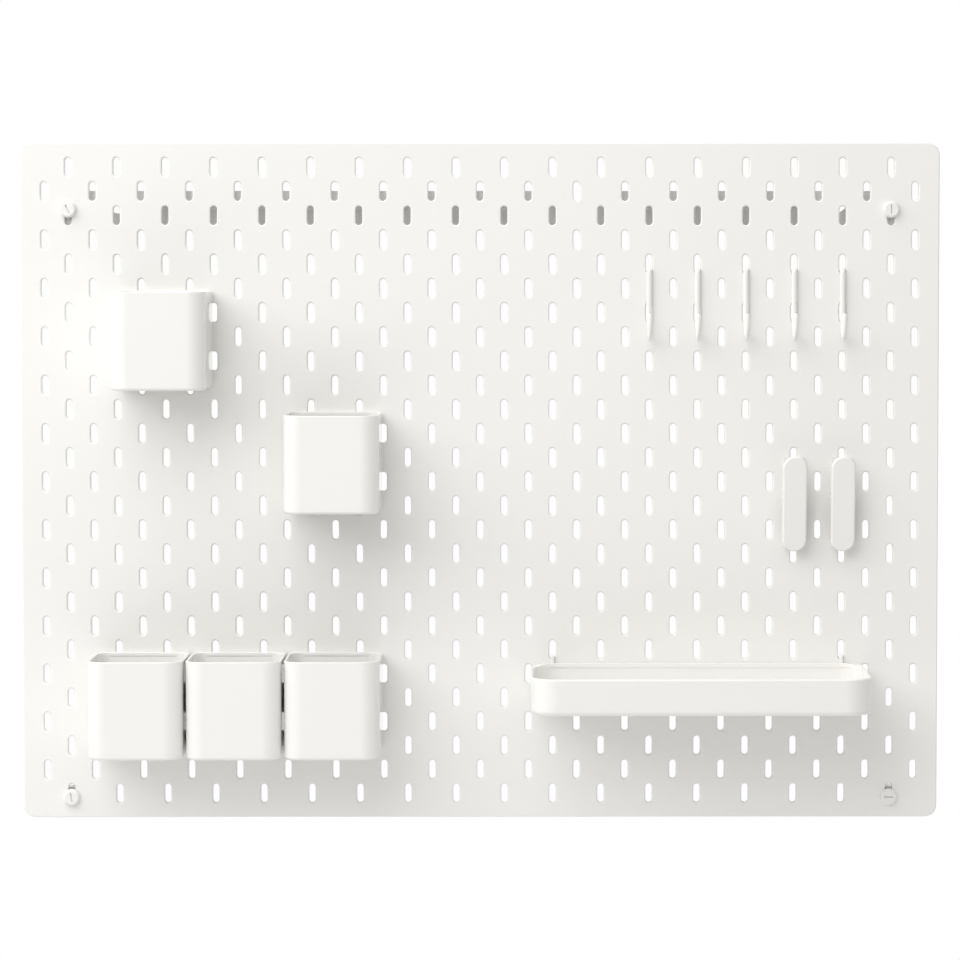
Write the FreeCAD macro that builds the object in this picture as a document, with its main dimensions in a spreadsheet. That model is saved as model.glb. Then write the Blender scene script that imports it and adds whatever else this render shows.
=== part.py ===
import FreeCAD, Part
import math
import os
import re
import Sketcher
from FreeCAD import Placement, Rotation, Vector

os.makedirs("parts", exist_ok=True)
doc = FreeCAD.newDocument("pegboard")

# Frame: X to the right, Y towards the wall, Z up. The wall is the plane Y = 0, and the origin is
# the middle of the two outer wall-screw holes of the rail.

# Driving dimensions, in millimetres and degrees
dimensions = {
    # board
    "boardWidth": 760, "boardHeight": 560, "boardThick": 5, "boardCorner": 10,
    "slotPitch": 20, "slotWidth": 5, "slotLength": 15, "wallGap": 15,
    # wall rail
    "railInset": 30, "railHeight": 31, "railSheet": 1.2, "railStand": 8, "railLip": 14.3,
    "railHole": 5.5, "railHoleRise": 7.5, "railHoleInset": 57.5, "railMidHole": 80,
    "notchWidth": 22, "notchDepth": 18.5, "notchLeftInset": 50, "notchRightInset": 56,
    # hangers behind the top corners
    "hangerWidth": 17, "hangerDrop": 15.5, "hangerFoot": 14, "hangerTop": 4, "hangerHook": 9,
    "hangerHookThick": 3, "lipPlay": 0.4, "seatGap": 0.2,
    # thumb screws and the spacers of the bottom corners
    "headWidth": 13.6, "headThick": 4.6, "headChamfer": 1.4, "headGap": 0.1,
    "coinLength": 7.6, "coinWidth": 1.1, "coinDepth": 1.6,
    "shankWidth": 4.8, "shankPlay": 0.05,
    "spacerWidth": 16, "spacerDrop": 3, "spacerChamfer": 1,
    # brackets that hook into the slots
    "neckPlay": 0.3, "tongueThick": 2.6, "tongueDrop": 8.5,
    # containers
    "boxWidth": 78, "boxDepth": 80, "boxHeight": 80, "boxWall": 2, "boxFrontCorner": 15,
    "boxBackCorner": 4, "boxHollowCorner": 9, "boxFootRound": 2.5, "boxRimDrop": 2.5,
    "boxFlangeRise": 0.6, "boxFlangeHeight": 2.4, "boxFlangeThick": 3, "boxProng": 4.4, "leastRound": 0.4,
    # shelf
    "shelfWidth": 276, "shelfDepth": 110, "shelfHeight": 29.8, "shelfWall": 2.2,
    "shelfFrontCorner": 22, "shelfBackCorner": 5, "shelfHollowCorner": 14, "shelfFootRound": 4,
    "shelfRimDrop": 13.6, "shelfFlangeRise": 2.4, "shelfFlangeHeight": 3.2, "shelfFlangeThick": 3.2,
    "shelfProng": 3.2,
    # hooks
    "hookWidth": 4.4, "hookStem": 4, "hookDrop": 63.5, "hookReach": 27,
    "hookTip": 40, "hookTaper": 46, "hookEnd": 2, "pegReach": 4,
    # spring clips
    "clipWidth": 20, "clipLength": 79.9, "clipTop": 2.9, "clipLeverThick": 3, "clipRound": 1.7,
    "clipSkirt": 2, "clipSkirtDepth": 8.5, "clipTilt": 8, "clipPivotDrop": 32, "clipPivotReach": 11,
    "clipFace": 7.5, "baseThick": 3, "earThick": 2.2, "earWidth": 8, "pinWidth": 3, "pinPlay": 0.05,
    "sidePlay": 0.4, "jawGap": 0.4, "jawThick": 3, "jawPad": 2,
    "springWire": 0.9, "springCoil": 6.4, "springTurns": 5.5, "springGap": 0.25, "springLeg": 12,
    "springRearLean": 17, "springFrontLean": 10,
}

sheet = doc.addObject("Spreadsheet::Sheet", "sizes")
for row, (alias, number) in enumerate(dimensions.items(), start=1):
    sheet.set(f"A{row}", alias)
    sheet.set(f"B{row}", str(number))
    sheet.setAlias(f"B{row}", alias)
doc.recompute()


def size(alias):
    return float(sheet.get(alias))


def bound(text):
    """An expression in which each dimension's name points to its cell."""
    return re.sub(r"[A-Za-z]\w*", lambda m: f"sizes.{m[0]}" if m[0] in dimensions else m[0], text)


def place(piece, x="0", y="0", z="0"):
    for axis, text in (("x", x), ("y", y), ("z", z)):
        piece.setExpression(f"Placement.Base.{axis}", bound(text))
    return piece


def block(name, x, y, z):
    """A box between two expressions on each axis."""
    piece = doc.addObject("Part::Box", name)
    for side, (low, high) in (("Length", x), ("Width", y), ("Height", z)):
        piece.setExpression(side, bound(f"({high}) - ({low})"))
    return place(piece, x[0], y[0], z[0])


def rod(name, radius, y, x="0", z="0"):
    """A cylinder along Y between two expressions."""
    piece = doc.addObject("Part::Cylinder", name)
    piece.Placement = Placement(Vector(), Rotation(Vector(1, 0, 0), -90))
    piece.setExpression("Radius", bound(radius))
    piece.setExpression("Height", bound(f"({y[1]}) - ({y[0]})"))
    return place(piece, x, y[0], z)


def tapered(name, radii, y, x="0", z="0"):
    """A cone along Y between two expressions."""
    piece = doc.addObject("Part::Cone", name)
    piece.Placement = Placement(Vector(), Rotation(Vector(1, 0, 0), -90))
    piece.setExpression("Radius1", bound(radii[0]))
    piece.setExpression("Radius2", bound(radii[1]))
    piece.setExpression("Height", bound(f"({y[1]}) - ({y[0]})"))
    return place(piece, x, y[0], z)


def axle(name, radius, x, y="0", z="0"):
    """A cylinder along X between two expressions."""
    piece = doc.addObject("Part::Cylinder", name)
    piece.Placement = Placement(Vector(), Rotation(Vector(0, 1, 0), 90))
    piece.setExpression("Radius", bound(radius))
    piece.setExpression("Height", bound(f"({x[1]}) - ({x[0]})"))
    return place(piece, x[0], y, z)


def shared(name, pieces):
    piece = doc.addObject("Part::MultiCommon", name)
    piece.Shapes = pieces
    return piece


def both(half):
    """A stretch that is centred on zero, from its half length."""
    return f"-({half})", half


def joined(name, pieces):
    piece = doc.addObject("Part::MultiFuse", name)
    piece.Shapes = pieces
    piece.Refine = True
    return piece


def less(name, base, tool):
    piece = doc.addObject("Part::Cut", name)
    piece.Base = base
    piece.Tool = tool
    piece.Refine = True
    return piece


def rounded(name, base, rules):
    """Round each edge by the radius of the first (test, radius) rule that takes it."""
    doc.recompute()
    box = base.Shape.BoundBox
    edges = []
    for number, edge in enumerate(base.Shape.Edges, start=1):
        radius = next((radius for test, radius in rules if test(edge, box)), 0)
        if radius > 0:
            edges.append((number, radius, radius))
    piece = doc.addObject("Part::Fillet", name)
    piece.Base = base
    piece.Edges = edges
    return piece


def upright(edge):
    ends = edge.Vertexes
    return len(ends) == 2 and math.hypot(ends[0].X - ends[1].X, ends[0].Y - ends[1].Y) < 1e-6


def outline(body, plane, name, points):
    """A closed sketch whose corners are bound to expressions."""
    sketch = body.newObject("Sketcher::SketchObject", name)
    sketch.AttachmentSupport = [(next(f for f in body.Origin.OriginFeatures if f.Role == plane), "")]
    sketch.MapMode = "FlatFace"
    count = len(points)
    turn = 2 * math.pi / count
    start = [Vector(10 * math.cos(i * turn), 10 * math.sin(i * turn), 0) for i in range(count)]
    sketch.addGeometry([Part.LineSegment(start[i], start[(i + 1) % count]) for i in range(count)], False)
    for i in range(count):
        sketch.addConstraint(Sketcher.Constraint("Coincident", i, 2, (i + 1) % count, 1))
    for i, corner in enumerate(points):
        for kind, text, now in zip(("DistanceX", "DistanceY"), corner, start[i]):
            index = sketch.addConstraint(Sketcher.Constraint(kind, -1, 1, i, 1, now))
            sketch.setExpression(f"Constraints[{index}]", bound(text))
    return sketch


def newBody(name):
    return doc.addObject("PartDesign::Body", name)


def pad(body, sketch, length, midplane=False):
    feature = body.newObject("PartDesign::Pad", sketch.Name + "Pad")
    feature.Profile = sketch
    feature.setExpression("Length", bound(length))
    feature.Midplane = midplane
    sketch.Visibility = False
    return feature


# Places that the pieces share, in the row's frame
frontFace = "-(wallGap + boardThick)"
railTop = "(railHeight - railHoleRise)"
topScrewZ = f"({railTop} - hangerDrop)"
screwRowZ = f"({topScrewZ} - (slotLength - slotWidth) / 2)"      # the third row of slots
firstRowZ = f"({screwRowZ} + 2 * slotPitch)"

# The staggered pattern repeats at every second pitch, so both counts are odd
columns = 2 * round(size("boardWidth") / (2 * size("slotPitch"))) - 1
rows = 2 * round(size("boardHeight") / (2 * size("slotPitch"))) - 1


def columnX(column):
    return f"(({column} - {(columns - 1) / 2}) * slotPitch)"


def rowZ(row):
    return f"({firstRowZ} - {row} * slotPitch)"


def screwColumns():
    return ("left", columnX(1)), ("right", columnX(columns - 2))


finished = []


def finish(piece, label):
    piece.Label = label
    finished.append(piece)
    return piece


# Board: a sheet with rounded corners and staggered upright slots

def slotWire(x, z):
    half = size("slotWidth") / 2
    rise = size("slotLength") / 2 - half
    left, right = x - half, x + half
    low, high = z - rise, z + rise
    return Part.Wire([
        Part.LineSegment(Vector(left, 0, low), Vector(left, 0, high)).toShape(),
        Part.Arc(Vector(left, 0, high), Vector(x, 0, high + half), Vector(right, 0, high)).toShape(),
        Part.LineSegment(Vector(right, 0, high), Vector(right, 0, low)).toShape(),
        Part.Arc(Vector(right, 0, low), Vector(x, 0, low - half), Vector(left, 0, low)).toShape(),
    ])


def boardWire(x, z, half, rise, corner):
    """A rectangle with round corners about (x, z), from half its width and half its height."""
    arcs = []
    for right, up in ((1, 1), (-1, 1), (-1, -1), (1, -1)):
        centre = Vector(x + right * (half - corner), 0, z + up * (rise - corner))
        side, tip = centre + Vector(right * corner, 0, 0), centre + Vector(0, 0, up * corner)
        middle = centre + Vector(right, 0, up) * (corner * math.sqrt(0.5))
        arcs.append((side, middle, tip) if right == up else (tip, middle, side))
    edges = []
    for arc, following in zip(arcs, arcs[1:] + arcs[:1]):
        edges.append(Part.Arc(*arc).toShape())
        edges.append(Part.LineSegment(arc[2], following[0]).toShape())
    return Part.Wire(edges)


pitch = size("slotPitch")
slots = [slotWire((column - (columns - 1) / 2) * pitch, -row * pitch)
         for row in range(rows) for column in range(columns) if (row + column) % 2]
boardFace = doc.addObject("Part::Feature", "boardFace")
boardFace.Shape = Part.Face([boardWire(0, (1 - rows) * pitch / 2, size("boardWidth") / 2,
                                       size("boardHeight") / 2, size("boardCorner"))] + slots)
board = doc.addObject("Part::Extrusion", "boardSheet")
board.Base = boardFace
board.Dir = Vector(0, 1, 0)
board.Solid = True
board.setExpression("LengthFwd", bound("boardThick"))
place(board, "0", frontFace, firstRowZ)
finish(board, "board")


# Wall rail: a strip bent into a step, whose lip stands off the wall

jog = f"({railTop} - railLip)"
railBody = newBody("railBody")
railProfile = outline(railBody, "YZ_Plane", "railProfile", [
    ("0", "-railHoleRise"), ("0", jog), ("-railStand", jog), ("-railStand", railTop),
    ("-(railStand + railSheet)", railTop), ("-(railStand + railSheet)", f"{jog} - railSheet"),
    ("-railSheet", f"{jog} - railSheet"), ("-railSheet", "-railHoleRise"),
])
railHalf = "(boardWidth / 2 - railInset)"
pad(railBody, railProfile, f"2 * {railHalf}", midplane=True)
railCuts = []
throughRail = ("-(2 * railStand)", "railStand")
for name, x in (("Left", f"(notchLeftInset - {railHalf})"), ("Middle", "railMidHole"),
                ("Right", f"({railHalf} - notchRightInset)")):
    notchZ = f"{railTop} - notchDepth + notchWidth / 2"
    railCuts.append(rod(f"notch{name}Foot", "notchWidth / 2", throughRail, x, notchZ))
    railCuts.append(block(f"notch{name}", (f"{x} - notchWidth / 2", f"{x} + notchWidth / 2"), throughRail,
                          (notchZ, f"{railTop} + railSheet")))
for name, x in (("Left", f"railHoleInset - {railHalf}"), ("Middle", "railMidHole"),
                ("Right", f"{railHalf} - railHoleInset")):
    railCuts.append(rod(f"hole{name}", "railHole / 2", throughRail, x))
finish(less("rail", railBody, joined("railCuts", railCuts)), "wall_rail")


# Thumb screws: a bevelled head with a coin slot, and a shank. Each is made on its own axis.

def thumbScrew(label, x, z, shankEnd, turn):
    name = label.replace("_", "")
    under = f"{frontFace} - headGap"
    rim = f"{under} - headThick + headChamfer"
    head = joined(name + "Body", [
        rod(name + "Head", "headWidth / 2", (rim, under)),
        tapered(name + "Bevel", ("headWidth / 2 - headChamfer", "headWidth / 2"),
                (f"{under} - headThick", rim)),
        rod(name + "Shank", "shankWidth / 2", (under, shankEnd)),
    ])
    coin = block(name + "Coin", both("coinWidth / 2"),
                 (f"{under} - headThick - coinDepth", f"{under} - headThick + coinDepth"),
                 both("coinLength / 2"))
    screw = less(name, head, coin)
    screw.Placement = Placement(Vector(), Rotation(Vector(0, 1, 0), turn))
    finish(place(screw, x, "0", z), label)


bottomScrewZ = f"({rowZ(rows - 1)} - spacerDrop)"
hangerEnd = "-(railStand + railSheet + lipPlay + seatGap)"
coinTurns = {"top_left": -26, "top_right": 0, "bottom_left": -12, "bottom_right": 94}
for side, x in screwColumns():
    thumbScrew(f"thumb_screw_top_{side}", x, topScrewZ, hangerEnd, coinTurns[f"top_{side}"])
    thumbScrew(f"thumb_screw_bottom_{side}", x, bottomScrewZ, hangerEnd, coinTurns[f"bottom_{side}"])


# Hangers: they hook over the rail's lip, and the top screws clamp them to the board

lipFront = "-(railStand + railSheet + lipPlay)"
lipBack = "-(railStand - lipPlay)"
for side, x in screwColumns():
    body = newBody(f"hanger{side.title()}Body")
    profile = outline(body, "YZ_Plane", f"hanger{side.title()}Profile", [
        ("-wallGap", f"{topScrewZ} - hangerFoot"), (lipFront, f"{topScrewZ} - hangerFoot"),
        (lipFront, f"{railTop} + seatGap"), (lipBack, f"{railTop} + seatGap"),
        (lipBack, f"{railTop} - hangerHook"), (f"{lipBack} + hangerHookThick", f"{railTop} - hangerHook"),
        (f"{lipBack} + hangerHookThick", f"{railTop} + hangerTop"), ("-wallGap", f"{railTop} + hangerTop"),
    ])
    pad(body, profile, "hangerWidth", midplane=True)
    place(body, x)
    bore = rod(f"hanger{side.title()}Bore", "shankWidth / 2 + shankPlay",
               ("-(wallGap + 1)", f"{lipFront} + 1"), x, topScrewZ)
    finish(less(f"hanger{side.title()}", body, bore), f"hanger_{side}")


# Spacers: feet that hold the board's bottom off the wall

for side, x in screwColumns():
    name = f"spacer{side.title()}"
    foot = joined(name + "Body", [
        rod(name + "Barrel", "spacerWidth / 2", ("-wallGap", "-spacerChamfer"), x, bottomScrewZ),
        tapered(name + "Toe", ("spacerWidth / 2", "spacerWidth / 2 - spacerChamfer"), ("-spacerChamfer", "0"),
                x, bottomScrewZ),
    ])
    bore = rod(name + "Bore", "shankWidth / 2 + shankPlay", ("-(wallGap + 1)", f"{hangerEnd} + 1"), x,
               bottomScrewZ)
    finish(less(name, foot, bore), f"spacer_{side}")


# Brackets: a round neck in a slot's lower end, and a tongue that hangs down behind the board

seat = f"({frontFace} - seatGap)"
behind = "-(wallGap - seatGap)"


def neckZ(row, width):
    return f"({rowZ(row)} - slotLength / 2 + neckPlay + {width} / 2)"


def bracket(name, x, row, width, inner):
    z = neckZ(row, width)
    return [
        rod(name + "Neck", f"{width} / 2", (inner, f"{behind} + tongueThick"), x, z),
        block(name + "Tongue", (f"{x} - {width} / 2", f"{x} + {width} / 2"),
              (behind, f"{behind} + tongueThick"), (f"{z} - tongueDrop", z)),
    ]


# Containers and shelf: rounded trays with a raised flange at the back. The hollow has wider back
# corners than the outside.

def frontUpright(edge, box):
    return upright(edge) and edge.BoundBox.YMin < box.Center.y


def backUpright(edge, box):
    return upright(edge) and edge.BoundBox.YMin > box.Center.y


def foot(edge, box):
    return edge.BoundBox.ZMax < box.ZMin + 1e-6


def shell(name, kind, x, y, z, inset, backRadius):
    """A block with the tray's rounded front corners and foot, drawn in by the inset."""
    corners = rounded(name + "Corners", block(name + "Block", x, y, z), [
        (frontUpright, size(kind + "FrontCorner") - inset), (backUpright, backRadius)])
    radius = max(size(kind + "FootRound") - inset, size("leastRound"))
    return rounded(name + "Foot", corners, [(foot, radius)])


def tray(label, kind, column, row, reach):
    """A tray that hangs by two brackets, each as many columns from its middle as the reach."""
    name = label.title().replace("_", "")
    x = columnX(column)
    rim = f"({rowZ(row)} - {kind}RimDrop)"
    half, wall = f"{kind}Width / 2", f"{kind}Wall"
    outer = shell(name + "Outer", kind, (f"{x} - {half}", f"{x} + {half}"),
                  (f"{frontFace} - {kind}Depth", seat), (f"{rim} - {kind}Height", rim), 0,
                  size(kind + "BackCorner"))
    inner = shell(name + "Inner", kind, (f"{x} - {half} + {wall}", f"{x} + {half} - {wall}"),
                  (f"{frontFace} - {kind}Depth + {wall}", f"{seat} - {wall}"),
                  (f"{rim} - {kind}Height + {wall}", f"{rim} + {wall}"), size(wall),
                  size(kind + "HollowCorner"))
    flangeHalf = f"({half} - {wall} - {kind}HollowCorner)"
    flange = block(name + "Flange", (f"{x} - {flangeHalf}", f"{x} + {flangeHalf}"),
                   (f"{seat} - {kind}FlangeThick", seat),
                   (f"{rim} + {kind}FlangeRise - {kind}FlangeHeight", f"{rim} + {kind}FlangeRise"))
    pieces = [less(name + "Shell", outer, inner), flange]
    for side, shift in (("Left", -reach), ("Right", reach)):
        at = columnX(column + shift)
        width = f"{kind}Prong"
        pieces += bracket(name + side, at, row, width, f"{seat} - {wall} / 2")
        if kind == "shelf":
            pieces.append(block(name + side + "Prong", (f"{at} - {width} / 2", f"{at} + {width} / 2"),
                                (f"{seat} - {wall}", seat), (rim, neckZ(row, width))))
    finish(joined(name, pieces), label)


lowRow = rows - 7
containerPlaces = [(5, 5), (12, 10), (4, lowRow), (8, lowRow), (12, lowRow)]
for number, (column, row) in enumerate(containerPlaces, start=1):
    tray(f"container_{number}", "box", column, row, 1)
tray("shelf", "shelf", columns - 10, lowRow, 6)


# Hooks: a stem that ends in a rounded bow and an upturned tip, thinner towards its lowest point

def hook(label, column, row):
    name = label.title().replace("_", "")
    x = columnX(column)
    z = rowZ(row)
    across = (f"{x} - hookWidth / 2", f"{x} + hookWidth / 2")
    stem = (f"{seat} - hookStem", seat)
    bowY, bowZ = f"({seat} - hookReach / 2)", f"({z} - hookDrop + hookReach / 2)"
    tipY = (f"{seat} - hookReach", f"{seat} - hookReach + hookStem")
    tipZ = f"({z} - hookTip - hookStem / 2)"
    ring = less(name + "Ring", axle(name + "Bow", "hookReach / 2", across, bowY, bowZ),
                joined(name + "BowCuts", [
                    axle(name + "BowHollow", "hookReach / 2 - hookStem",
                         (f"{x} - hookWidth", f"{x} + hookWidth"), bowY, bowZ),
                    block(name + "BowTop", (f"{x} - hookWidth", f"{x} + hookWidth"),
                          (f"{seat} - 2 * hookReach", f"{seat} + hookReach"), (bowZ, f"{bowZ} + hookReach")),
                ]))
    bend = joined(name + "Bend", [
        ring,
        block(name + "Stem", across, stem, (bowZ, neckZ(row, "hookWidth"))),
        block(name + "Tip", across, tipY, (bowZ, tipZ)),
        axle(name + "TipRound", "hookStem / 2", across, f"{seat} - hookReach + hookStem / 2", tipZ),
    ])
    taper, low = f"{z} - hookTaper", f"{z} - hookDrop"
    front = newBody(name + "Front")
    silhouette = outline(front, "XZ_Plane", name + "Silhouette", [
        ("hookWidth", z), ("hookWidth / 2", taper), ("hookEnd / 2", low),
        ("-hookEnd / 2", low), ("-hookWidth / 2", taper), ("-hookWidth", z),
    ])
    pad(front, silhouette, "4 * hookReach", midplane=True)
    place(front, x, frontFace)
    peg = rod(name + "Peg", "hookWidth / 2", (f"{seat} - hookStem / 2", f"{frontFace} + pegReach"), x,
              neckZ(row + 2, "hookWidth"))
    pieces = [shared(name + "Shaped", [bend, front]), peg]
    pieces += bracket(name, x, row, "hookWidth", f"{seat} - hookStem / 2")
    pieces.append(axle(name + "Shoulder", "hookStem / 2", across, f"{seat} - hookStem / 2",
                       neckZ(row, "hookWidth")))
    finish(joined(name, pieces), label)


for number, column in enumerate(range(columns - 12, columns - 3, 2), start=1):
    hook(f"hook_{number}", column, 4)


# Spring clips: the base hangs on the board, and the lever turns on a pin through the base's ears

def clip(label, column, row):
    name = label.title().replace("_", "")
    x, z = columnX(column), rowZ(row)
    pivotY, pivotZ = f"({seat} - clipPivotReach)", f"({z} - clipPivotDrop)"
    top, bottom = f"({z} + clipTop)", f"({z} + clipTop - clipLength)"
    baseHalf = "(clipWidth / 2 - clipSkirt - sidePlay)"
    plateY = f"({seat} - baseThick)"
    across = (f"{x} - {baseHalf}", f"{x} + {baseHalf}")
    pieces = [
        block(name + "Plate", across, (plateY, seat), (f"{bottom} + jawThick", f"{top} - jawThick")),
        block(name + "Jaw", across, (f"{plateY} - jawPad", seat),
              (f"{bottom} + jawThick", f"{bottom} + 3 * jawThick")),
        rod(name + "Peg", "hookWidth / 2", (f"{seat} - baseThick / 2", f"{frontFace} + pegReach"), x,
            neckZ(row + 2, "hookWidth")),
    ]
    pieces += bracket(name, x, row, "hookWidth", f"{seat} - baseThick / 2")
    for side, low, high in (("Left", f"{x} - {baseHalf}", f"{x} - {baseHalf} + earThick"),
                            ("Right", f"{x} + {baseHalf} - earThick", f"{x} + {baseHalf}")):
        pieces.append(axle(name + side + "Ear", "earWidth / 2", (low, high), pivotY, pivotZ))
        pieces.append(block(name + side + "Neck", (low, high), (pivotY, f"{plateY} + baseThick / 2"),
                            (f"{pivotZ} - earWidth / 2", f"{pivotZ} + earWidth / 2")))
    hole = axle(name + "EarHole", "pinWidth / 2 + pinPlay", (f"{x} - clipWidth", f"{x} + clipWidth"), pivotY,
                pivotZ)
    finish(less(name + "Base", joined(name + "BaseBody", pieces), hole), f"{label}_base")

    pinHalf = "(clipWidth / 2 - sidePlay)"
    finish(axle(name + "Pin", "pinWidth / 2", (f"{x} - {pinHalf}", f"{x} + {pinHalf}"), pivotY, pivotZ),
           f"{label}_pin")

    # The lever is built upright about its pivot, then leaned out by the tilt
    face = ("-clipFace", "clipLeverThick - clipFace")
    leverTop = "(clipTop + clipPivotDrop - clipWidth / 2)"
    leverEnd = "(clipTop + clipPivotDrop - clipLength + clipWidth / 2)"
    pill = joined(name + "Pill", [
        block(name + "Face", both("clipWidth / 2"), face, (leverEnd, leverTop)),
        rod(name + "FaceTop", "clipWidth / 2", face, "0", leverTop),
        rod(name + "FaceEnd", "clipWidth / 2", face, "0", leverEnd),
    ])
    faceFront = -size("clipFace")
    smooth = rounded(name + "Smooth", pill, [
        (lambda edge, box: edge.BoundBox.YMax < faceFront + 1e-6, size("clipRound"))])
    skirtY = ("clipLeverThick / 2 - clipFace", "clipSkirtDepth - clipFace")
    lever = [smooth]
    for side, low, high in (("Left", "-clipWidth / 2", "clipSkirt - clipWidth / 2"),
                            ("Right", "clipWidth / 2 - clipSkirt", "clipWidth / 2")):
        lever.append(block(name + side + "Skirt", (low, high), skirtY, (leverEnd, leverTop)))
        lever.append(axle(name + side + "Lug", "earWidth / 2", (low, high)))
    padReach = "(clipPivotReach - baseThick - jawPad - jawGap)"
    jawZ = "(clipPivotDrop - clipLength + clipTop + 2 * jawThick)"
    jawY = f"({padReach} + ({jawZ} - jawThick / 2) * sin(clipTilt * 1 deg)) / cos(clipTilt * 1 deg)"
    lever.append(block(name + "Bite", both("clipWidth / 2 - clipSkirt - sidePlay"),
                       ("clipLeverThick / 2 - clipFace", jawY),
                       (f"{jawZ} - jawThick / 2", f"{jawZ} + jawThick / 2")))
    leverHole = axle(name + "LeverHole", "pinWidth / 2 + pinPlay", both("clipWidth"))
    moved = less(name + "Lever", joined(name + "LeverBody", lever), leverHole)
    moved.Placement = Placement(Vector(), Rotation(Vector(1, 0, 0), size("clipTilt")))
    finish(place(moved, x, pivotY, pivotZ), f"{label}_lever")

    # The spring is a coil round the pin. Both of its legs rise: the rear one leans on the plate, and
    # the front one stays clear of the lever over its whole travel.
    radius, wire = size("springCoil") / 2, size("springWire") / 2
    rise = size("springWire") + size("springGap")
    length = size("springTurns") * rise
    section = Part.Wire([Part.Circle(Vector(radius, 0, 0), Vector(0, 1, 0), wire).toShape()])
    coil = Part.Wire(Part.makeHelix(rise, length, radius).Edges).makePipeShell([section], True, False)
    legs = []
    for start, lean in ((Vector(radius, 0, 0), "springRearLean"),
                        (Vector(-radius, 0, length), "springFrontLean")):
        angle = math.radians(size(lean))
        heading = Vector(math.sin(angle), -math.cos(angle), 0)
        legs += [Part.makeSphere(wire, start), Part.makeCylinder(wire, size("springLeg"), start, heading)]
    spring = doc.addObject("Part::Feature", name + "Spring")
    spring.Shape = coil.fuse(legs)
    turned = Rotation(Vector(0, 1, 0), Vector(0, 0, -1), Vector(-1, 0, 0), "XYZ")
    spring.Placement = Placement(Vector(), turned)
    place(spring, f"{x} + springTurns * (springWire + springGap) / 2", pivotY, pivotZ)
    finish(spring, f"{label}_spring")


clip("clip_1", columns - 6, 12)
clip("clip_2", columns - 4, 12)


# Check every object, then write one file for each sub-part

doc.recompute()
for piece in doc.Objects:
    if "Invalid" in piece.State or "Error" in piece.State:
        raise RuntimeError(f"{piece.Name} has the state {piece.State}")
for piece in finished:
    if piece.Shape.isNull() or not piece.Shape.isValid():
        raise RuntimeError(f"{piece.Label} has no valid shape")
for piece in finished:
    piece.Shape.exportStep(f"parts/{piece.Label}.step")
    print(piece.Label, len(piece.Shape.Solids), round(piece.Shape.Volume, 1))
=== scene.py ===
import math

import bmesh
import bpy
import numpy as np
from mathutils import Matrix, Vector


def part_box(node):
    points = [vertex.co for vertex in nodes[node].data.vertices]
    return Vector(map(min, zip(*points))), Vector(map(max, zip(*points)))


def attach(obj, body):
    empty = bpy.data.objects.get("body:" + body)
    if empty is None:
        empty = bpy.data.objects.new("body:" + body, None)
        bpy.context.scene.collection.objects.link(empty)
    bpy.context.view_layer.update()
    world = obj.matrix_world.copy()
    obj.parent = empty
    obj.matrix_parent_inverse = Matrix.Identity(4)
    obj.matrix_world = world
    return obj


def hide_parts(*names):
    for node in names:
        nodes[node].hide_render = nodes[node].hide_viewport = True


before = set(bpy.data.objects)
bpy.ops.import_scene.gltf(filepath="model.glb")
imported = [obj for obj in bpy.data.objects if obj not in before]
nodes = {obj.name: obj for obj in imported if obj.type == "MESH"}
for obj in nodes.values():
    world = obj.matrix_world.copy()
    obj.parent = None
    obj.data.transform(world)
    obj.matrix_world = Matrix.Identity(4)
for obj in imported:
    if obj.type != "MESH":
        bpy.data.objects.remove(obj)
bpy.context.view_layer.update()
mm = 0.001
faceWeight = 60  # over 50, large faces count for more
print("frame loaded:", len(nodes), "nodes")


# Shapes are worked out in millimetres and scaled when they become a mesh.

def addMesh(name, points, faces, material, normals=None):
    # one smooth mesh of one material, with the normals given for its points where a shape works them out
    mesh = bpy.data.meshes.new(name)
    mesh.from_pydata((np.asarray(points) * mm).tolist(), [], faces)
    mesh.polygons.foreach_set("use_smooth", [True] * len(mesh.polygons))
    if normals is not None:
        mesh.normals_split_custom_set_from_vertices(np.asarray(normals).tolist())
    mesh.update()
    mesh.materials.append(material)
    piece = bpy.data.objects.new(name, mesh)
    bpy.context.scene.collection.objects.link(piece)
    return piece


def weighNormals(piece):
    # large faces pull the normals of the small ones beside them, so that rounded edges shade evenly
    weigh = piece.modifiers.new("weigh", "WEIGHTED_NORMAL")
    weigh.keep_sharp = True
    weigh.weight = faceWeight
    return piece


def ringQuads(first, second):
    # quads between two closed rings of vertex numbers, facing out when the second ring lies beyond the
    # first one and both run anticlockwise as seen from there
    a, b = np.asarray(first), np.asarray(second)
    return np.stack([a, b, np.roll(b, -1), np.roll(a, -1)], axis=-1)


def stackQuads(around, count):
    # the side faces of a tube whose rings are numbered one after the other
    numbers = np.arange(around * count).reshape(count, around)
    return np.concatenate([ringQuads(near, far) for near, far in zip(numbers, numbers[1:])]).tolist()


def seatPiece(piece, body, slot, *replaced):
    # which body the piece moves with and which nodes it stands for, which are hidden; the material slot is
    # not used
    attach(piece, body)
    if replaced:
        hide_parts(*replaced)
    return piece


def smoothStep(value):
    # 3 v^2 - 2 v^3, level at 0 and at 1
    value = np.clip(value, 0, 1)
    return value * value * (3 - 2 * value)


# Finishes: one group gives every paint and plastic its slight unevenness.

surfaceLook = {"wideScale": 9.0, "wideDetail": 3.0, "fineDetail": 2.0, "fineShare": 0.5, "middle": 0.5,
               "ior": 1.5}


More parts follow.
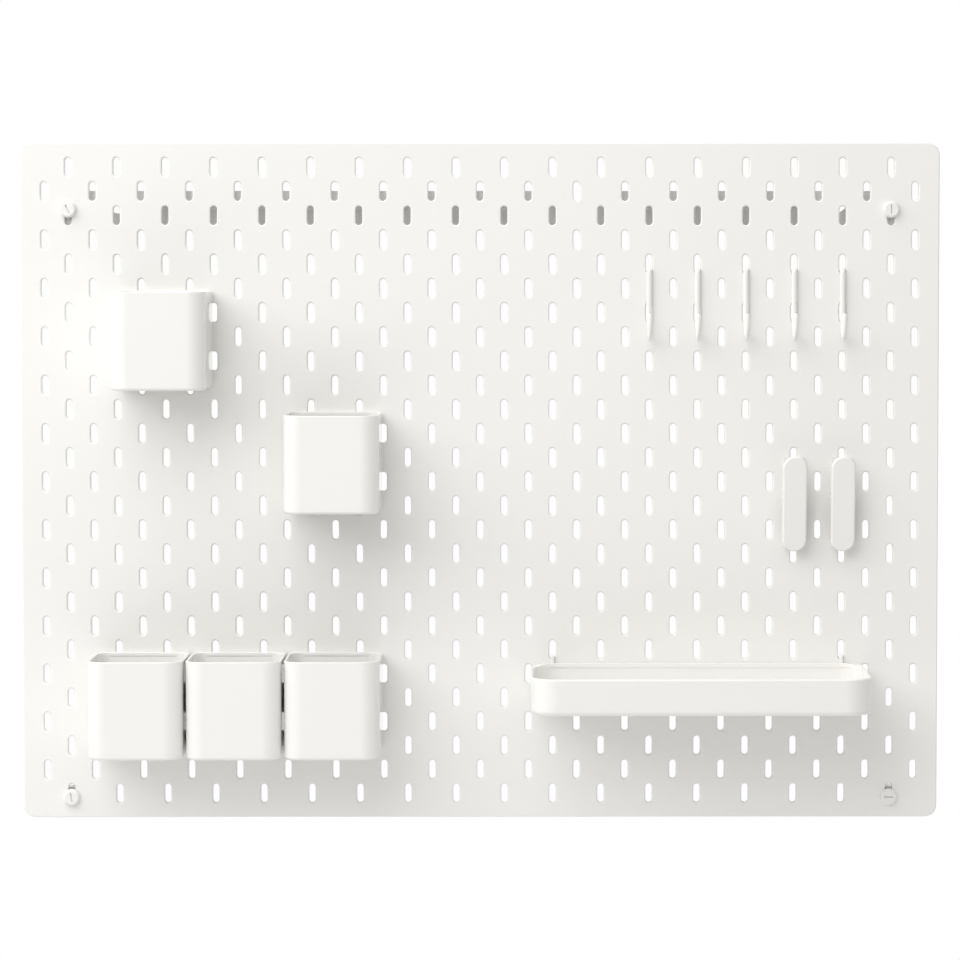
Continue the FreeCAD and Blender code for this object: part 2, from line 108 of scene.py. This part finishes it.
def makeSurfaceGroup(look):
    # colour = paint x (1 + tone x (wide noise + half the fine noise)), and the fine noise is the relief
    group = bpy.data.node_groups.new("fineSurface", "ShaderNodeTree")
    for name, kind in (("Vector", "Vector"), ("Colour", "Color"), ("Tone", "Float"), ("Rough", "Float"),
                       ("Rough Spread", "Float"), ("Grain", "Float"), ("Relief", "Float")):
        group.interface.new_socket(name=name, in_out="INPUT", socket_type="NodeSocket" + kind)
    for name, kind in (("Colour", "Color"), ("Roughness", "Float"), ("Normal", "Vector")):
        group.interface.new_socket(name=name, in_out="OUTPUT", socket_type="NodeSocket" + kind)
    new, link = group.nodes.new, group.links.new
    enter, leave = new("NodeGroupInput"), new("NodeGroupOutput")
    wide, fine = new("ShaderNodeTexNoise"), new("ShaderNodeTexNoise")
    wide.inputs["Scale"].default_value = look["wideScale"]
    wide.inputs["Detail"].default_value = look["wideDetail"]
    fine.inputs["Detail"].default_value = look["fineDetail"]
    link(enter.outputs["Vector"], wide.inputs["Vector"])
    link(enter.outputs["Vector"], fine.inputs["Vector"])
    link(enter.outputs["Grain"], fine.inputs["Scale"])

    def combine(operation, first, second):
        # each of the two is a number or another node's output
        node = new("ShaderNodeMath")
        node.operation = operation
        for socket, value in zip(node.inputs, (first, second)):
            if isinstance(value, float):
                socket.default_value = value
            else:
                link(value, socket)
        return node.outputs[0]

    swing = combine("SUBTRACT", wide.outputs["Fac"], look["middle"])
    speck = combine("SUBTRACT", fine.outputs["Fac"], look["middle"])
    both = combine("ADD", swing, combine("MULTIPLY", speck, look["fineShare"]))
    level = combine("ADD", combine("MULTIPLY", both, enter.outputs["Tone"]), 1.0)
    paint = new("ShaderNodeVectorMath")
    paint.operation = "SCALE"
    link(enter.outputs["Colour"], paint.inputs[0])
    link(level, paint.inputs["Scale"])
    link(paint.outputs[0], leave.inputs["Colour"])
    rough = combine("ADD", enter.outputs["Rough"], combine("MULTIPLY", swing, enter.outputs["Rough Spread"]))
    link(rough, leave.inputs["Roughness"])
    bump = new("ShaderNodeBump")
    link(enter.outputs["Relief"], bump.inputs["Distance"])
    link(fine.outputs["Fac"], bump.inputs["Height"])
    link(bump.outputs["Normal"], leave.inputs["Normal"])
    return group


def makeFinish(name, group, look):
    # one paint, plastic or metal, whose colour, roughness and relief come from the surface group
    material = bpy.data.materials.new(name)
    material.use_nodes = True
    tree = material.node_tree
    shader = tree.nodes["Principled BSDF"]
    place = tree.nodes.new("ShaderNodeTexCoord")
    surface = tree.nodes.new("ShaderNodeGroup")
    surface.node_tree = group
    tree.links.new(place.outputs["Object"], surface.inputs["Vector"])
    surface.inputs["Colour"].default_value = (*look["colour"], 1.0)
    for socket, key in (("Tone", "tone"), ("Rough", "rough"), ("Rough Spread", "spread"), ("Grain", "grain"),
                        ("Relief", "relief")):
        surface.inputs[socket].default_value = look[key]
    for output, socket in (("Colour", "Base Color"), ("Roughness", "Roughness"), ("Normal", "Normal")):
        tree.links.new(surface.outputs[output], shader.inputs[socket])
    shader.inputs["Metallic"].default_value = look.get("metal", 0.0)
    shader.inputs["IOR"].default_value = surfaceLook["ior"]
    return material


finishLook = {
    "boardPaint": {"colour": (0.845, 0.832, 0.805), "tone": 0.012, "rough": 0.42, "spread": 0.08,
                   "grain": 1400.0, "relief": 0.00002},
    "trayPlastic": {"colour": (0.852, 0.841, 0.815), "tone": 0.008, "rough": 0.06, "spread": 0.02,
                    "grain": 1100.0, "relief": 0.000004},
    "fittingPlastic": {"colour": (0.83, 0.82, 0.795), "tone": 0.015, "rough": 0.45, "spread": 0.08,
                       "grain": 2200.0, "relief": 0.00003},
    "railPaint": {"colour": (0.93, 0.925, 0.91), "tone": 0.03, "rough": 0.38, "spread": 0.1,
                  "grain": 1800.0, "relief": 0.00003},
    "springSteel": {"colour": (0.62, 0.61, 0.59), "tone": 0.05, "rough": 0.24, "spread": 0.08,
                    "grain": 2500.0, "relief": 0.00001, "metal": 1.0},
}
surfaceGroup = makeSurfaceGroup(surfaceLook)
finishes = {name: makeFinish(name, surfaceGroup, look) for name, look in finishLook.items()}
print("finishes made:", len(finishes))


# Board: a lattice of half pitches. Every second square holds a slot, and the rest are plain.

boardLook = {"margin": 10.0, "pitch": 20.0, "slotHalf": 2.65, "slotRise": 5.2, "slotRound": 1.3,
             "arcSteps": 6, "rimRound": 1.1, "rimBackRound": 0.6, "cornerSteps": 7}


def makeBoard(look):
    low, high = [np.array(corner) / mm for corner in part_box("board")]
    front, back, pitch, margin = low[1], high[1], look["pitch"], look["margin"]
    columns, rows = [round((high[axis] - low[axis] - 2 * margin) / pitch) for axis in (0, 2)]
    points, normals, faces = [], [], []

    def addPoints(x, y, z, normal):
        # puts the points down with their normals and gives back their numbers, in the shape of x
        start = sum(len(part) for part in points)
        x = np.asarray(x, float)
        points.append(np.stack([x, np.full_like(x, y), np.asarray(z, float)], axis=-1).reshape(-1, 3))
        normals.append(np.broadcast_to(normal, x.shape + (3,)).reshape(-1, 3))
        return start + np.arange(x.size).reshape(x.shape)

    # both faces, numbered [column, row]
    along = low[0] + margin + np.arange(2 * columns + 1) * pitch / 2
    up = low[2] + margin + np.arange(2 * rows + 1) * pitch / 2
    latticeX, latticeZ = np.meshgrid(along, up, indexing="ij")
    lattice = {front: addPoints(latticeX, front, latticeZ, (0, -1, 0)),
               back: addPoints(latticeX, back, latticeZ, (0, 1, 0))}
    turn = [(1, 0), (1, 1), (0, 1), (-1, 1), (-1, 0), (-1, -1), (0, -1), (1, -1)]
    column, row = np.meshgrid(np.arange(columns), np.arange(rows), indexing="ij")
    slotted = (column + (rows - 1 - row)) % 2 == 1
    plainC, plainR = 2 * column[~slotted] + 1, 2 * row[~slotted] + 1
    for face, numbers in lattice.items():
        for k in range(0, 8, 2):
            steps = [(0, 0), turn[k], turn[k + 1], turn[(k + 2) % 8]]
            quad = [numbers[plainC + stepX, plainR + stepZ] for stepX, stepZ in steps]
            faces.extend(np.stack(quad if face == front else quad[::-1], axis=1).tolist())

    # slot: middle line + direction x (half width + how far the rounding still opens)
    arc = np.linspace(0, math.pi, look["arcSteps"] + 1)
    angle = np.concatenate([[0], arc, [math.pi], arc + math.pi])
    endRise = np.full(arc.size, look["slotRise"])
    rise = np.concatenate([[0], endRise, [0], -endRise])
    outX, outZ = np.cos(angle), np.sin(angle)
    count = angle.size
    slotC, slotR = 2 * column[slotted] + 1, 2 * row[slotted] + 1
    midX, midZ = along[slotC][:, None], up[slotR][:, None]
    inward = np.stack([-outX, np.zeros(count), -outZ], axis=-1)
    rings = []
    for tilt in np.radians([0, 45, 90]):
        reach = look["slotHalf"] + look["slotRound"] * (1 - math.sin(tilt))
        depth = front + look["slotRound"] * (1 - math.cos(tilt))
        normal = inward * math.sin(tilt) - np.array([0, math.cos(tilt), 0])
        rings.append(addPoints(midX + outX * reach, depth, midZ + rise + outZ * reach, normal))
    slotX, slotZ = midX + outX * look["slotHalf"], midZ + rise + outZ * look["slotHalf"]
    rings.append(addPoints(slotX, back, slotZ, inward))
    for near, far in zip(rings, rings[1:]):
        quads = [near, np.roll(near, -1, axis=1), np.roll(far, -1, axis=1), far]
        faces.extend(np.stack(quads, axis=-1).reshape(-1, 4).tolist())
    backRing = addPoints(slotX, back, slotZ, (0, 1, 0))
    for face, ring in ((front, rings[0]), (back, backRing)):
        numbers = lattice[face]
        for k in range(8):
            (ax, az), (bx, bz) = turn[k], turn[(k + 1) % 8]
            side = [numbers[slotC + ax, slotR + az], numbers[slotC + bx, slotR + bz],
                    ring[:, (2 * k + 2) % count], ring[:, 2 * k + 1], ring[:, 2 * k]]
            faces.extend(np.stack(side if face == front else side[::-1], axis=1).tolist())

    # rim: the lattice's outer points + direction x margin, turned round the four corner points
    lastC, lastR = 2 * columns, 2 * rows
    sides = [(np.arange(lastC + 1), np.zeros(lastC + 1, int), -90),
             (np.full(lastR + 1, lastC), np.arange(lastR + 1), 0),
             (np.arange(lastC, -1, -1), np.full(lastC + 1, lastR), 90),
             (np.zeros(lastR + 1, int), np.arange(lastR, -1, -1), 180)]
    rimC, rimR, rimAngle = [], [], []
    for c, r, heading in sides:
        corner = heading + np.linspace(0, 90, look["cornerSteps"] + 1)[1:-1]
        rimC += [c, np.full(corner.size, c[-1])]
        rimR += [r, np.full(corner.size, r[-1])]
        rimAngle += [np.full(c.size, heading), corner]
    rimC, rimR, rimAngle = np.concatenate(rimC), np.concatenate(rimR), np.radians(np.concatenate(rimAngle))
    wall = np.stack([np.cos(rimAngle), np.zeros(rimAngle.size), np.sin(rimAngle)], axis=-1)
    rims = []
    for edge, inside, radius, tilts in ((front, 1, look["rimRound"], (0, 30, 60, 90)),
                                        (back, -1, look["rimBackRound"], (90, 45, 0))):
        for tilt in np.radians(tilts):
            reach = margin - radius * (1 - math.sin(tilt))
            depth = edge + inside * radius * (1 - math.cos(tilt))
            normal = wall * math.sin(tilt) - np.array([0, inside * math.cos(tilt), 0])
            rimX, rimZ = along[rimC] + wall[:, 0] * reach, up[rimR] + wall[:, 2] * reach
            rims.append(addPoints(rimX, depth, rimZ, normal))
    for near, far in zip(rims, rims[1:]):
        faces.extend(ringQuads(near, far).tolist())
    for face, rim in ((front, rims[0]), (back, rims[-1])):
        inner = lattice[face][rimC, rimR]
        quads = np.stack([inner, rim, np.roll(rim, -1), np.roll(inner, -1)], axis=1)
        pointed = quads[:, 0] == quads[:, 3]
        order = slice(None) if face == front else slice(None, None, -1)
        faces.extend(quads[~pointed][:, order].tolist())
        faces.extend(quads[pointed][:, :3][:, order].tolist())

    # the lattice's points in the middle of the slots belong to no face and are left out
    used, places = np.unique(np.concatenate([np.asarray(face) for face in faces]), return_inverse=True)
    ends = np.cumsum([len(face) for face in faces])[:-1]
    faces = [part.tolist() for part in np.split(places, ends)]
    points, normals = np.concatenate(points)[used], np.concatenate(normals)[used]
    return addMesh("boardSheet", points, faces, finishes["boardPaint"], normals)


seatPiece(makeBoard(boardLook), "board", "board_white", "board")
print("board made")


# Where the hung pieces sit: the seat is the plane of their backs, just in front of the board.

hangLook = {"seat": -20.2, "behind": -14.8, "tongueThick": 2.6, "tongueDrop": 8.5, "tongueTip": 1.0,
            "tongueTop": 4.0, "tongueCap": 0.6, "slotEnd": 7.5, "play": 0.3, "bend": 1.5, "bendPoints": 6}
strapLook = {"corner": 0.9, "cornerPoints": 4, "cornerShare": 0.98, "endTurns": (90, 70, 45, 20),
             "leastEnd": 0.05}
boardLow, boardHigh = [np.array(corner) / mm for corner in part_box("board")]


# The middle of a slot's column and of its row, and the middle height of a strap that lies in the slot's
# lower end, with its play below it

def columnX(column):
    return boardLow[0] + boardLook["margin"] + (column + 0.5) * boardLook["pitch"]


def rowZ(row):
    return boardHigh[2] - boardLook["margin"] - (row + 0.5) * boardLook["pitch"]


def neckZ(row, width):
    return rowZ(row) - hangLook["slotEnd"] + hangLook["play"] + width / 2


def arcPoints(centre, radius, start, end, count):
    # centre + radius x direction, at even steps of the angle
    angle = np.radians(np.linspace(start, end, count))
    return np.stack([centre[0] + radius * np.cos(angle), centre[1] + radius * np.sin(angle)], axis=-1)


def sweepStrap(name, path, wide, thick, middle, cap, corner=strapLook["corner"]):
    # a rounded rectangle carried along a path of (y, z): its width lies along X and its thickness along
    # the path's normal. Both ends run on by the cap and narrow like a quarter of an ellipse.
    path = np.asarray(path, float)
    wide, thick = [np.broadcast_to(np.asarray(value, float), len(path)) for value in (wide, thick)]
    tangent = np.gradient(path, axis=0)
    tangent /= np.linalg.norm(tangent, axis=1)[:, None]
    turn = np.radians(strapLook["endTurns"])
    out, scale = cap * np.sin(turn)[:, None], np.maximum(np.cos(turn), strapLook["leastEnd"])
    spots = np.concatenate([path[0] - tangent[0] * out, path, path[-1] + tangent[-1] * out[::-1]])
    pad = [(turn.size, turn.size)]
    heading = np.stack([np.pad(tangent[:, axis], pad, mode="edge") for axis in (0, 1)], axis=-1)
    shrink = np.concatenate([scale, np.ones(len(path)), scale[::-1]])[:, None]
    halfWide = np.pad(wide, pad, mode="edge")[:, None] / 2 - cap * (1 - shrink)
    halfThick = np.pad(thick, pad, mode="edge")[:, None] / 2 * shrink
    each = strapLook["cornerPoints"]
    around = np.radians(np.concatenate([np.linspace(start, start + 90, each) for start in (0, 90, 180, 270)]))
    sideX, sideN = np.repeat([1, -1, -1, 1], each), np.repeat([1, 1, -1, -1], each)
    edge = np.minimum(corner, np.minimum(halfWide, halfThick) * strapLook["cornerShare"])
    across = sideX * (halfWide - edge) + np.cos(around) * edge
    lift = sideN * (halfThick - edge) + np.sin(around) * edge
    y = spots[:, :1] - heading[:, 1:] * lift
    z = spots[:, 1:] + heading[:, :1] * lift
    points = np.stack([middle + across, y, z], axis=-1)
    count, size = points.shape[:2]
    faces = [quad[::-1] for quad in stackQuads(size, count)]
    faces += [list(range(size)), list(range((count - 1) * size, count * size))[::-1]]
    return weighNormals(addMesh(name, points.reshape(-1, 3), faces, finishes["trayPlastic"]))


def bracketPath(neck):
    # up the tongue behind the board and round the bend into the slot
    behind, bend = hangLook["behind"] + hangLook["tongueThick"] / 2, hangLook["bend"]
    tongue = [(behind, neck - hangLook["tongueDrop"] + hangLook["tongueTip"]),
              (behind, neck - hangLook["tongueTop"])]
    turn = arcPoints((behind - bend, neck - bend), bend, 0, 90, hangLook["bendPoints"])
    return np.concatenate([tongue, turn])


# Trays: containers and shelf

boxLook = {"width": 78.0, "depth": 80.0, "height": 80.0, "wall": 2.0, "draft": 0.2, "foot": 2.5,
           "frontCorner": 15.0, "backCorner": 4.0, "hollowCorner": 11.0, "rimDrop": 2.5, "rimRound": 0.7,
           "flangeRise": 0.6, "flangeHeight": 2.6, "lip": 0.6, "bracketWidth": 4.4, "reach": 20.0}
shelfLook = {"width": 276.0, "depth": 110.0, "height": 29.8, "wall": 2.2, "draft": 0.2, "foot": 4.0,
             "frontCorner": 22.0, "backCorner": 5.0, "hollowCorner": 19.0, "rimDrop": 13.6, "rimRound": 1.3,
             "flangeRise": 2.4, "flangeHeight": 3.2, "lip": 0.7, "bracketWidth": 3.2, "reach": 120.0,
             "prongThick": 2.6, "prongFoot": 1.0, "prongTop": 3.0}
# what both kinds share: points along the back and round a corner, the rim's rise, and the lip's place and end
rimLook = {"slides": (3.0, 6.0, 9.0, 12.0, 15.0, 18.0), "cornerPoints": 15, "footPoints": 6, "rimPoints": 4,
           "under": 1.5, "innerRound": 0.45, "innerTurns": (90, 50, 0), "leastFoot": 1.2, "sideShare": 0.45,
           "sideRun": 16.0, "backStart": 14.0, "backRun": 11.0, "lipStart": 8.0, "lipRun": 8.0,
           "lipEnd": ((1.0, 0.0), (0.8, 0.3), (0.2, 0.8), (0.0, 1.1))}
# node, settings, the column of its middle and the row of its slots
trayPlaces = [("container_1", boxLook, 5, 5), ("container_2", boxLook, 12, 10),
              ("container_3", boxLook, 4, 20), ("container_4", boxLook, 8, 20),
              ("container_5", boxLook, 12, 20), ("shelf", shelfLook, 27, 20)]


def makeTray(node, look, middle, rim):
    # Ring = corner centre + direction x corner radius. The rings run up the outside, over the rim and down
    # the inside, whose back corners are wider. The rim's rise = the flange's rise x how near the back x how
    # far in from the side, and the lip comes forward along the middle of the back. Points that slide from
    # the back corners towards the middle let both change smoothly.
    halfWide, seat, wall = look["width"] / 2, hangLook["seat"], look["wall"]
    frontY = boardLow[1] - look["depth"]
    slides, corner = np.array(rimLook["slides"]), rimLook["cornerPoints"]
    arcs = [np.linspace(start, start + 90, corner) for start in (180, 270, 0, 90)]
    straight = np.full(slides.size, 90.0)
    angle = np.radians(np.concatenate(arcs[:3] + [straight, straight, arcs[3]]))
    slide = np.concatenate([np.zeros(3 * corner), slides, slides[::-1], np.zeros(corner)])
    sideX = np.repeat([-1, 1, -1], [corner, 2 * corner + slides.size, corner + slides.size])
    front = np.arange(angle.size) < 2 * corner
    outX, outY = np.cos(angle), np.sin(angle)
    low, foot, rimRound = rim - look["height"], look["foot"], look["rimRound"]
    sideShare, innerRound = rimLook["sideShare"], rimLook["innerRound"]
    rings = []

    def addRing(inset, z, inside=False, rises=False, lip=0.0):
        # inset: how far in from the wall's outer face, to which the draft adds, most at the bottom
        inset = inset + look["draft"] * (rim - z) / look["height"]
        back = look["hollowCorner"] + wall - inset if inside else look["backCorner"] - inset
        radius = np.where(front, look["frontCorner"] - inset, back)
        x = sideX * (halfWide - inset - radius - slide) + outX * radius
        y = np.where(front, frontY + inset + radius, seat - inset - radius) + outY * radius
        fromSide = halfWide - np.abs(x)
        inwards = sideShare + (1 - sideShare) * smoothStep(fromSide / rimLook["sideRun"])
        raised = inwards * smoothStep((y - seat + rimLook["backStart"]) / rimLook["backRun"])
        forward = smoothStep((fromSide - rimLook["lipStart"]) / rimLook["lipRun"]) * ~front
        y = y - lip * look["lip"] * forward
        rings.append(np.stack([middle + x, y, z + look["flangeRise"] * rises * raised], axis=-1))

    for tilt in np.radians(np.linspace(0, 90, rimLook["footPoints"])):
        addRing(foot * (1 - math.sin(tilt)), low + foot * (1 - math.cos(tilt)))
    addRing(0.0, rim - rimLook["under"])
    for tilt in np.radians(np.linspace(0, 90, rimLook["rimPoints"])):
        addRing(rimRound * (1 - math.cos(tilt)), rim - rimRound * (1 - math.sin(tilt)), rises=True)
    for tilt in np.radians(rimLook["innerTurns"]):
        addRing(wall - innerRound * (1 - math.cos(tilt)), rim - innerRound * (1 - math.sin(tilt)),
                inside=True, rises=True, lip=1.0)
    lipLow = rim + look["flangeRise"] - look["flangeHeight"]
    for share, drop in rimLook["lipEnd"]:
        addRing(wall, lipLow - drop, inside=True, lip=share)
    innerFoot = max(foot - wall, rimLook["leastFoot"])
    for tilt in np.radians(np.linspace(90, 0, rimLook["footPoints"])):
        addRing(wall + innerFoot * (1 - math.sin(tilt)), low + wall + innerFoot * (1 - math.cos(tilt)),
                inside=True)
    around, count = angle.size, len(rings)
    faces = [quad[::-1] for quad in stackQuads(around, count)]
    faces += [list(range(around))[::-1], list(range((count - 1) * around, count * around))]
    piece = addMesh(node + "Tray", np.concatenate(rings), faces, finishes["trayPlastic"])
    return seatPiece(weighNormals(piece), node, "tray_white", node)


def hangTray(node, look, column, row):
    # two brackets through the slots, and on the shelf two prongs that stand up to them
    width, wallMiddle = look["bracketWidth"], hangLook["seat"] - look["wall"] / 2
    neck = neckZ(row, width)
    path = np.concatenate([bracketPath(neck), [(wallMiddle, neck)]])
    for side, shift in (("Left", -look["reach"]), ("Right", look["reach"])):
        middle = columnX(column) + shift
        strap = sweepStrap(node + "Bracket" + side, path, width, hangLook["tongueThick"], middle,
                           cap=hangLook["tongueCap"])
        seatPiece(strap, node, "tray_white")
        if "prongThick" in look:
            prongY = hangLook["seat"] - look["prongThick"] / 2
            rise = [(prongY, rowZ(row) - look["rimDrop"] - look["prongFoot"]),
                    (prongY, neck - look["prongTop"]), (prongY, neck)]
            prong = sweepStrap("shelfProng" + side, rise, width, look["prongThick"], middle, cap=width / 2)
            seatPiece(prong, node, "tray_white")


for node, look, column, row in trayPlaces:
    makeTray(node, look, columnX(column), rowZ(row) - look["rimDrop"])
    hangTray(node, look, column, row)
print("trays made:", len(trayPlaces))


# Hooks: one strap from the tongue through the slot, down the board, round the bow and up to the tip

hookLook = {"wide": 4.4, "thick": 4.0, "drop": 63.5, "reach": 27.0, "tip": 40.0, "taper": 46.0, "end": 2.0,
            "cap": 3.2, "corner": 1.9, "shoulder": 2.0, "stemTop": 6.0, "overBow": 2.0, "thickFrom": -15.0,
            "thickRun": 5.0, "stemPoints": 8, "tipPoints": 5, "shoulderPoints": 7, "bowPoints": 25,
            "pegBack": -16.6, "pegCorner": 2.1, "pegPoints": 4, "pegRows": 2, "firstColumn": 25,
            "columnStep": 2, "row": 4, "count": 5}


def makeHook(node, look, column, row):
    # The width narrows evenly from the taper's height to the lowest point of the bow. The thickness is the
    # tongue's behind the board and grows to the hook's on the way through the slot.
    middle, z, thick = columnX(column), rowZ(row), look["thick"]
    neck, stemY = neckZ(row, look["wide"]), hangLook["seat"] - thick / 2
    bow, shoulder = (look["reach"] - thick) / 2, look["shoulder"]
    bowZ = z - look["drop"] + look["reach"] / 2
    overBow = bowZ + look["overBow"]
    stem = np.linspace(neck - look["stemTop"], overBow, look["stemPoints"])
    tip = np.linspace(overBow, z - look["tip"] - look["cap"], look["tipPoints"])
    path = np.concatenate([
        bracketPath(neck),
        arcPoints((stemY + shoulder, neck - shoulder), shoulder, 90, 180, look["shoulderPoints"]),
        np.stack([np.full(stem.size, stemY), stem], axis=-1),
        arcPoints((stemY - bow, bowZ), bow, 0, -180, look["bowPoints"]),
        np.stack([np.full(tip.size, stemY - 2 * bow), tip], axis=-1),
    ])
    thin = np.clip((z - look["taper"] - path[:, 1]) / (look["drop"] - look["taper"]), 0, 1)
    outside = path[:, 0] < boardLow[1]
    wide = look["wide"] + (look["end"] - look["wide"]) * thin * outside
    grown = np.clip((look["thickFrom"] - path[:, 0]) / look["thickRun"], 0, 1)
    depth = hangLook["tongueThick"] + (thick - hangLook["tongueThick"]) * grown
    strap = sweepStrap(node + "Strap", path, wide, depth, middle, look["cap"], corner=look["corner"])
    seatPiece(strap, node, "hook_white", node)
    lower = neckZ(row + look["pegRows"], look["wide"])
    pegPath = [(y, lower) for y in np.linspace(look["pegBack"], stemY, look["pegPoints"])]
    peg = sweepStrap(node + "Peg", pegPath, look["wide"], look["wide"], middle, cap=hangLook["tongueCap"],
                     corner=look["pegCorner"])
    seatPiece(peg, node, "hook_white")


for number in range(hookLook["count"]):
    column = hookLook["firstColumn"] + hookLook["columnStep"] * number
    makeHook(f"hook_{number + 1}", hookLook, column, hookLook["row"])
print("hooks made:", hookLook["count"])


# The smaller pieces keep their solids' forms and get softened edges.

softLook = {"hanger": 0.4, "spacer": 0.3, "screw": 0.25, "rail": 0.35, "lever": 0.8, "base": 0.25,
            "segments": 2, "joinWithin": 1e-6, "flatAngle": 1.5, "edgeAngle": 35}


def softenNode(name, node, body, finish, slot, width):
    # the solid's own mesh, its flat triangles joined again, with each edge rounded over the given width
    mesh = nodes[node].data.copy()
    mesh.name = name
    work = bmesh.new()
    work.from_mesh(mesh)
    bmesh.ops.remove_doubles(work, verts=work.verts, dist=softLook["joinWithin"])
    bmesh.ops.dissolve_limit(work, angle_limit=math.radians(softLook["flatAngle"]), verts=work.verts,
                             edges=work.edges)
    work.to_mesh(mesh)
    work.free()
    mesh.polygons.foreach_set("use_smooth", [True] * len(mesh.polygons))
    mesh.materials.clear()
    mesh.materials.append(finishes[finish])
    piece = bpy.data.objects.new(name, mesh)
    bpy.context.scene.collection.objects.link(piece)
    soften = piece.modifiers.new("soften", "BEVEL")
    soften.width = width * mm
    soften.segments = softLook["segments"]
    soften.limit_method = "ANGLE"
    soften.angle_limit = math.radians(softLook["edgeAngle"])
    return seatPiece(weighNormals(piece), body, slot, node)


for side in ("left", "right"):
    softenNode(f"hanger{side.title()}Block", f"hanger_{side}", "board", "fittingPlastic", "fitting_white",
               softLook["hanger"])
    softenNode(f"spacer{side.title()}Foot", f"spacer_{side}", "board", "fittingPlastic", "fitting_white",
               softLook["spacer"])
    for end in ("top", "bottom"):
        node = f"thumb_screw_{end}_{side}"
        softenNode(f"screw{end.title()}{side.title()}", node, node, "fittingPlastic", "screw_white",
                   softLook["screw"])
softenNode("railStrip", "wall_rail", "wall_side", "railPaint", "rail_white", softLook["rail"])
for clip in ("clip_1", "clip_2"):
    softenNode(clip + "Cover", clip + "_lever", clip + "_lever", "trayPlastic", "clip_white",
               softLook["lever"])
    softenNode(clip + "Plate", clip + "_base", clip, "trayPlastic", "clip_white", softLook["base"])
    for part in ("_pin", "_spring"):
        steel = nodes[clip + part]
        steel.data.materials.clear()
        steel.data.materials.append(finishes["springSteel"])
print("small pieces made")


# Floor, light and camera

floorLook = {"z": -1.05, "half": 1.6, "back": 0.96, "tone": 0.9, "rough": 0.9}
worldLook = {"low": 0.43, "high": 0.84, "upFrom": -0.3, "upTo": 1.0, "behind": 0.5, "behindFrom": -0.1,
             "behindTo": 0.3}
keyLook = {"power": 56.5, "size": (3.4, 2.4), "place": (-1.25, -1.05, 1.27), "aim": (0.0, 0.0, -0.2)}
cameraLook = {"place": (0.0464, -3.21104, -0.04337), "turn": (86.9065, -0.0034, -0.3555), "lens": 144.497,
              "shiftX": -80 / 960, "clipEnd": 50}


def makeFloor(look):
    # a white rectangle well below the board
    half, back, z = look["half"], look["back"], look["z"]
    mesh = bpy.data.meshes.new("floor")
    corners = [(-half, -half, z), (half, -half, z), (half, back, z), (-half, back, z)]
    mesh.from_pydata(corners, [], [(0, 1, 2, 3)])
    floor = bpy.data.objects.new("floor", mesh)
    bpy.context.scene.collection.objects.link(floor)
    paper = bpy.data.materials.new("floorPaper")
    paper.use_nodes = True
    shader = paper.node_tree.nodes["Principled BSDF"]
    shader.inputs["Base Color"].default_value = (look["tone"], look["tone"], look["tone"], 1)
    shader.inputs["Roughness"].default_value = look["rough"]
    mesh.materials.append(paper)


def makeWorld(look):
    # The world is plain white where it is seen. Where it only lights, it grows brighter towards the top,
    # and behind the board it has a level of its own.
    world = bpy.data.worlds.new("studio")
    bpy.context.scene.world = world
    world.use_nodes = True
    new, link = world.node_tree.nodes.new, world.node_tree.links.new
    glow = world.node_tree.nodes["Background"]
    path, place, axes = new("ShaderNodeLightPath"), new("ShaderNodeTexCoord"), new("ShaderNodeSeparateXYZ")
    link(place.outputs["Generated"], axes.inputs[0])

    def blend(factor, start, end, low, high):
        # low to high while the factor goes from start to end
        ramp = new("ShaderNodeMapRange")
        for socket, value in (("Value", factor), ("From Min", start), ("From Max", end), ("To Min", low),
                              ("To Max", high)):
            if isinstance(value, float):
                ramp.inputs[socket].default_value = value
            else:
                link(value, ramp.inputs[socket])
        return ramp.outputs["Result"]

    seen = path.outputs["Is Camera Ray"]
    for ray in ("Is Glossy Ray", "Is Transmission Ray"):
        seen = blend(path.outputs[ray], 0.0, 1.0, seen, 1.0)
    upward = blend(axes.outputs["Z"], look["upFrom"], look["upTo"], look["low"], look["high"])
    around = blend(axes.outputs["Y"], look["behindFrom"], look["behindTo"], upward, look["behind"])
    glow.inputs["Color"].default_value = (1, 1, 1, 1)
    link(blend(seen, 0.0, 1.0, around, 1.0), glow.inputs["Strength"])


def makeKey(look):
    # one large lamp in front, at the upper left
    light = bpy.data.lights.new("key", "AREA")
    light.shape = "RECTANGLE"
    light.size, light.size_y = look["size"]
    light.energy = look["power"]
    lamp = bpy.data.objects.new("key", light)
    lamp.location = look["place"]
    lamp.rotation_euler = (Vector(look["aim"]) - lamp.location).to_track_quat("-Z", "Y").to_euler()
    bpy.context.scene.collection.objects.link(lamp)


def makeCamera(look):
    # the photograph's view, shifted sideways by 80 of the picture's 960 pixels
    camera = bpy.data.cameras.new("camera")
    camera.lens = look["lens"]
    camera.shift_x = look["shiftX"]
    camera.clip_end = look["clipEnd"]
    viewer = bpy.data.objects.new("camera", camera)
    viewer.location = look["place"]
    viewer.rotation_euler = [math.radians(angle) for angle in look["turn"]]
    bpy.context.scene.collection.objects.link(viewer)
    bpy.context.scene.camera = viewer


makeFloor(floorLook)
makeWorld(worldLook)
makeKey(keyLook)
makeCamera(cameraLook)
bpy.context.scene.view_settings.view_transform = "Standard"
print("stage and camera made")
